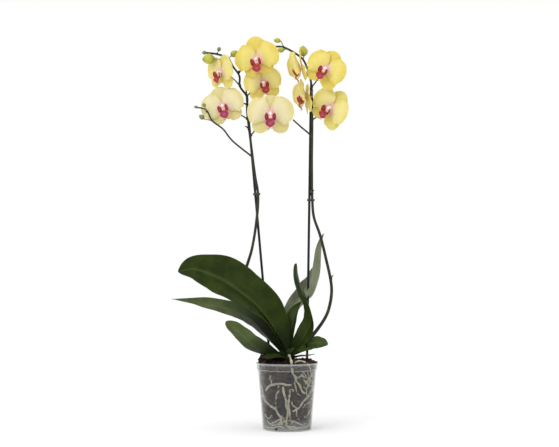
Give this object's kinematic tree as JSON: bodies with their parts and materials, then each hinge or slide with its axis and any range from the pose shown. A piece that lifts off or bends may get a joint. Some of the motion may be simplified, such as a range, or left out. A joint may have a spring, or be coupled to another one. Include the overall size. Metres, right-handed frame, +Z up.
{
  "type": "potted orchid",
  "caption": "Moth orchid with yellow flowers on tall staked spikes, strap leaves and a clear tapered pot of bark.",
  "frame": {"origin": "centre of the pot's flat base, on the surface it stands on", "axes": "+Z up, +X to the right and +Y to the back as the plant is seen from its front"},
  "size_m": [0.3397, 0.1624, 0.7618],
  "materials": {
    "clear_plastic": "gloss",
    "bark": "matte",
    "root": "matte",
    "crown": "satin",
    "leaf": "satin",
    "spike": "satin",
    "stake": "satin",
    "clip": "satin",
    "sepal": "satin",
    "petal": "satin",
    "lip": "satin",
    "bud": "satin",
    "small_bud": "satin"
  },
  "bodies": {
    "root": {"pot": "clear_plastic", "bark": "bark", "crown": "crown", "stake_left": "stake", "stake_right": "stake", "clip_left": "clip", "clip_right": "clip", "spike_left": "spike", "spike_right": "spike", "root_aerial": "root", "root_arc": "root", "root_centre": "root", "root_left": "root", "root_right": "root", "leaf_broad": "leaf", "leaf_under": "leaf", "leaf_front": "leaf", "leaf_back": "leaf", "leaf_tall": "leaf", "leaf_curled": "leaf", "leaf_short": "leaf", "leaf_sliver": "leaf", "leaf_rim": "leaf", "bud_left_1": "bud", "bud_left_3": "bud", "bud_right_1": "bud", "bud_right_2": "bud", "bud_right_3": "bud", "bud_left_2": "small_bud", "bud_left_4": "small_bud", "bud_branch_1": "small_bud", "bud_branch_2": "small_bud", "bud_branch_3": "small_bud", "flower_1_sepals": "sepal", "flower_1_petals": "petal", "flower_1_lip": "lip", "flower_2_sepals": "sepal", "flower_2_petals": "petal", "flower_2_lip": "lip", "flower_3_sepals": "sepal", "flower_3_petals": "petal", "flower_3_lip": "lip", "flower_4_sepals": "sepal", "flower_4_petals": "petal", "flower_4_lip": "lip", "flower_5_sepals": "sepal", "flower_5_petals": "petal", "flower_5_lip": "lip", "flower_6_sepals": "sepal", "flower_6_petals": "petal", "flower_6_lip": "lip", "flower_7_sepals": "sepal", "flower_7_petals": "petal", "flower_7_lip": "lip", "flower_8_sepals": "sepal", "flower_8_petals": "petal", "flower_8_lip": "lip", "flower_9_sepals": "sepal", "flower_9_petals": "petal", "flower_9_lip": "lip"}
  },
  "joints": []
}
